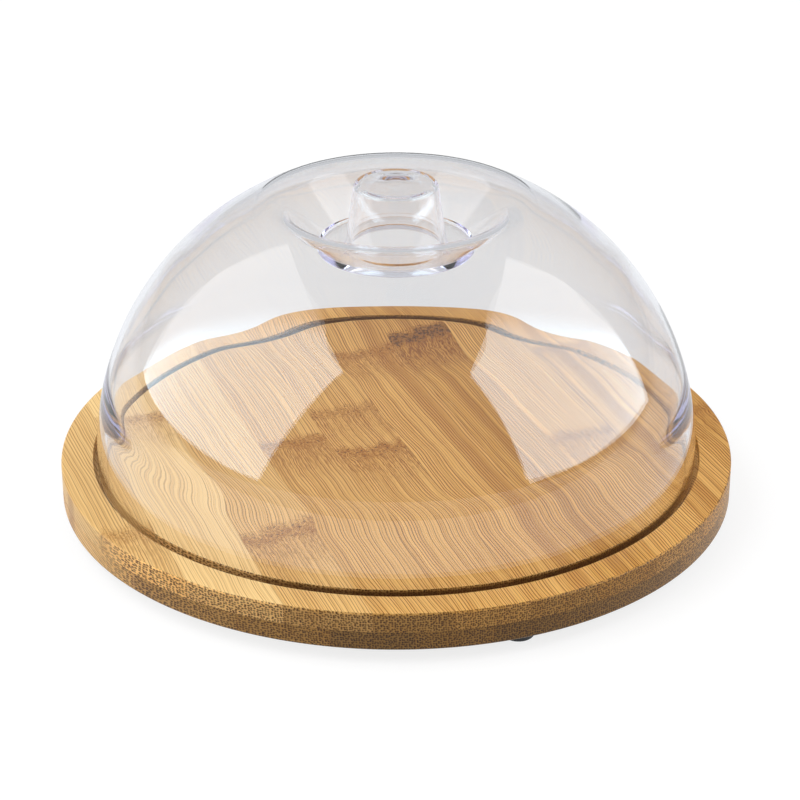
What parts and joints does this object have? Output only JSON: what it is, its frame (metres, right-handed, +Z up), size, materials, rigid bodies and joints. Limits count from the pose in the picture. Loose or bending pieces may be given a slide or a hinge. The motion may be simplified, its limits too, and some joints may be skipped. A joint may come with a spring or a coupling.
{
  "type": "covered serving tray",
  "caption": "Round laminated bamboo serving board on rubber feet, with a ring groove that seats a clear lift-off dome whose hollow knob stands in a sunken crown.",
  "frame": {"origin": "on the table under the centre of the board, in the plane of the feet's undersides", "axes": "+Z up along the axis of the board and the dome, Y along the bamboo's grain, with the front foot on the -Y side"},
  "size_m": [0.3, 0.3, 0.1482],
  "materials": {
    "clear_plastic": "clear moulded plastic, polished",
    "upper_bamboo": "oiled bamboo, satin",
    "lower_bamboo": "oiled bamboo, satin",
    "dark_rubber": "matt moulded rubber",
    "plain_steel": "plain bright steel"
  },
  "bodies": {
    "board": {"top_strip_1": "upper_bamboo", "top_strip_2": "upper_bamboo", "top_strip_3": "upper_bamboo", "top_strip_4": "upper_bamboo", "top_strip_5": "upper_bamboo", "top_strip_6": "upper_bamboo", "top_strip_7": "upper_bamboo", "top_strip_8": "upper_bamboo", "top_strip_9": "upper_bamboo", "top_strip_10": "upper_bamboo", "bottom_strip_1": "lower_bamboo", "bottom_strip_2": "lower_bamboo", "bottom_strip_3": "lower_bamboo", "bottom_strip_4": "lower_bamboo", "bottom_strip_5": "lower_bamboo", "bottom_strip_6": "lower_bamboo", "bottom_strip_7": "lower_bamboo", "bottom_strip_8": "lower_bamboo", "bottom_strip_9": "lower_bamboo", "bottom_strip_10": "lower_bamboo", "bottom_strip_11": "lower_bamboo", "foot_front": "dark_rubber", "foot_right": "dark_rubber", "foot_back": "dark_rubber", "foot_left": "dark_rubber", "foot_screw_front": "plain_steel", "foot_screw_right": "plain_steel", "foot_screw_back": "plain_steel", "foot_screw_left": "plain_steel"},
    "cover": {"dome_cover": "clear_plastic"}
  },
  "joints": [
    {"name": "cover_lift", "type": "slide", "parent": "board", "child": "cover", "axis": [0, 0, 1], "range_m": [0, 0.2]}
  ]
}
